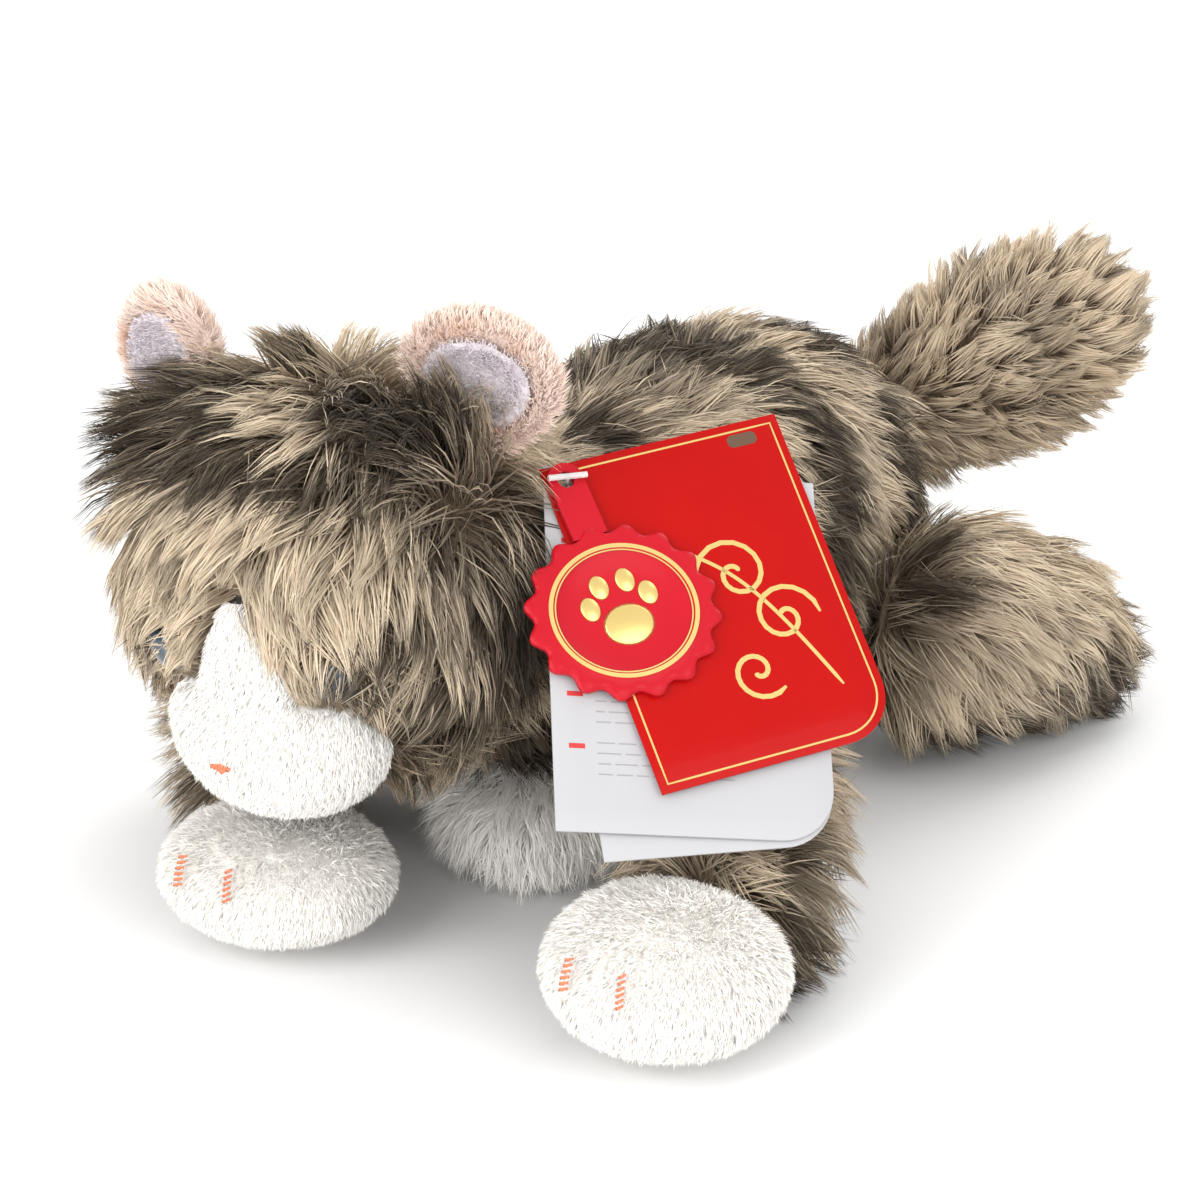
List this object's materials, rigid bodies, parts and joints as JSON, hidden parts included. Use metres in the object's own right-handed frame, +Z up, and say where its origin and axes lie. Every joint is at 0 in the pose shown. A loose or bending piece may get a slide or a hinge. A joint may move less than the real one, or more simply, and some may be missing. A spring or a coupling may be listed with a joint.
{
  "type": "plush cat",
  "caption": "Soft stuffed cat lying on its belly with long striped pile, white muzzle and paws, jointed head, ears, legs and tail, and a set of paper hang tags.",
  "frame": {"origin": "on the flat underside of the belly, under the front half of the body", "axes": "-Y is forward, +X is the cat's left, +Z is up"},
  "size_m": [0.233, 0.3519, 0.1705],
  "materials": {
    "grey_fur": "long greige pile with dark brown tipped stripes",
    "white_plush": "short white pile",
    "pink_plush": "short pinkish beige pile",
    "lilac_lining": "very short lilac grey pile",
    "fibre_fill": "loose polyester fibre",
    "pouch_cloth": "plain woven cloth",
    "coral_thread": "embroidery thread",
    "eye_plastic": "polished",
    "washer_plastic": "moulded",
    "red_card": "gloss coated",
    "white_paper": "smooth",
    "red_seal": "satin",
    "gold_foil": "foil",
    "clear_plastic": "translucent"
  },
  "bodies": {
    "torso": {"body_fur_cover": "grey_fur", "belly_panel": "white_plush", "chest_bib": "white_plush", "body_stuffing": "fibre_fill", "pellet_pouch": "pouch_cloth"},
    "neck": {"neck_gusset": "white_plush"},
    "head": {"head_fur_cover": "grey_fur", "blaze_panel": "white_plush", "muzzle_panel": "white_plush", "chin_panel": "white_plush", "head_stuffing": "fibre_fill", "nose_stitching": "coral_thread", "eye_left": "eye_plastic", "eye_right": "eye_plastic", "eye_washer_left": "washer_plastic", "eye_washer_right": "washer_plastic", "tag_fastener": "clear_plastic"},
    "ear_left": {"ear_left": "pink_plush", "ear_lining_left": "lilac_lining"},
    "ear_right": {"ear_right": "pink_plush", "ear_lining_right": "lilac_lining"},
    "front_leg_left": {"front_leg_left_fur_cover": "grey_fur", "front_leg_left_stuffing": "fibre_fill"},
    "paw_left": {"paw_left": "white_plush", "paw_stuffing_left": "fibre_fill", "toe_stitch_left_inner": "coral_thread", "toe_stitch_left_outer": "coral_thread"},
    "front_leg_right": {"front_leg_right_fur_cover": "grey_fur", "front_leg_right_stuffing": "fibre_fill"},
    "paw_right": {"paw_right": "white_plush", "paw_stuffing_right": "fibre_fill", "toe_stitch_right_inner": "coral_thread", "toe_stitch_right_outer": "coral_thread"},
    "hind_leg_left": {"hind_leg_left_fur_cover": "grey_fur", "hind_leg_left_stuffing": "fibre_fill"},
    "hind_leg_right": {"hind_leg_right_fur_cover": "grey_fur", "hind_leg_right_stuffing": "fibre_fill"},
    "tail": {"tail_fur_cover": "grey_fur", "tail_stuffing": "fibre_fill"},
    "tag_backing_card": {"tag_backing_card": "white_paper"},
    "tag_leaflet": {"tag_leaflet": "white_paper"},
    "tag_cover": {"tag_cover": "red_card"},
    "tag_seal": {"tag_seal": "red_seal", "tag_seal_ring": "gold_foil"}
  },
  "joints": [
    {"name": "neck_turn", "type": "hinge", "parent": "torso", "child": "neck", "pos_m": [-0.003, -0.045, 0.08], "axis": [0, 0, 1], "range_deg": [-18, 18]},
    {"name": "head_nod", "type": "hinge", "parent": "neck", "child": "head", "pos_m": [-0.003, -0.045, 0.08], "axis": [0.9903, 0.1392, 0], "range_deg": [-15, 0]},
    {"name": "ear_left_fold", "type": "hinge", "parent": "head", "child": "ear_left", "pos_m": [0.0318, -0.094, 0.1412], "axis": [0.6886, 0.3756, -0.6202], "range_deg": [-20, 40]},
    {"name": "ear_right_fold", "type": "hinge", "parent": "head", "child": "ear_right", "pos_m": [-0.0524, -0.1035, 0.136], "axis": [0.6703, -0.2239, 0.7075], "range_deg": [-20, 40]},
    {"name": "shoulder_left_swing", "type": "hinge", "parent": "torso", "child": "front_leg_left", "pos_m": [0.052, -0.028, 0.048], "axis": [1, 0, 0], "range_deg": [0, 60]},
    {"name": "wrist_left_bend", "type": "hinge", "parent": "front_leg_left", "child": "paw_left", "pos_m": [0.101, -0.08, 0.025], "axis": [1, 0, 0], "range_deg": [0, 18]},
    {"name": "shoulder_right_swing", "type": "hinge", "parent": "torso", "child": "front_leg_right", "pos_m": [-0.052, -0.028, 0.048], "axis": [1, 0, 0], "range_deg": [0, 60]},
    {"name": "wrist_right_bend", "type": "hinge", "parent": "front_leg_right", "child": "paw_right", "pos_m": [-0.041, -0.091, 0.025], "axis": [1, 0, 0], "range_deg": [0, 18]},
    {"name": "hip_left_swing", "type": "hinge", "parent": "torso", "child": "hind_leg_left", "pos_m": [0.056, 0.084, 0.042], "axis": [1, 0, 0], "range_deg": [-60, 0]},
    {"name": "hip_right_swing", "type": "hinge", "parent": "torso", "child": "hind_leg_right", "pos_m": [-0.056, 0.084, 0.042], "axis": [1, 0, 0], "range_deg": [-60, 0]},
    {"name": "tail_sway", "type": "hinge", "parent": "torso", "child": "tail", "pos_m": [0.008, 0.122, 0.084], "axis": [0, 0, 1], "range_deg": [-15, 20]},
    {"name": "tag_backing_swing", "type": "hinge", "parent": "head", "child": "tag_backing_card", "pos_m": [0.046, -0.077, 0.122], "axis": [0.6087, -0.4262, 0.6691], "range_deg": [-20, 20]},
    {"name": "tag_leaflet_swing", "type": "hinge", "parent": "head", "child": "tag_leaflet", "pos_m": [0.046, -0.077, 0.122], "axis": [0.6087, -0.4262, 0.6691], "range_deg": [-20, 20]},
    {"name": "tag_cover_swing", "type": "hinge", "parent": "head", "child": "tag_cover", "pos_m": [0.046, -0.077, 0.122], "axis": [0.6087, -0.4262, 0.6691], "range_deg": [-20, 20]},
    {"name": "tag_seal_swing", "type": "hinge", "parent": "head", "child": "tag_seal", "pos_m": [0.046, -0.077, 0.122], "axis": [0.6087, -0.4262, 0.6691], "range_deg": [-6, 20]}
  ]
}
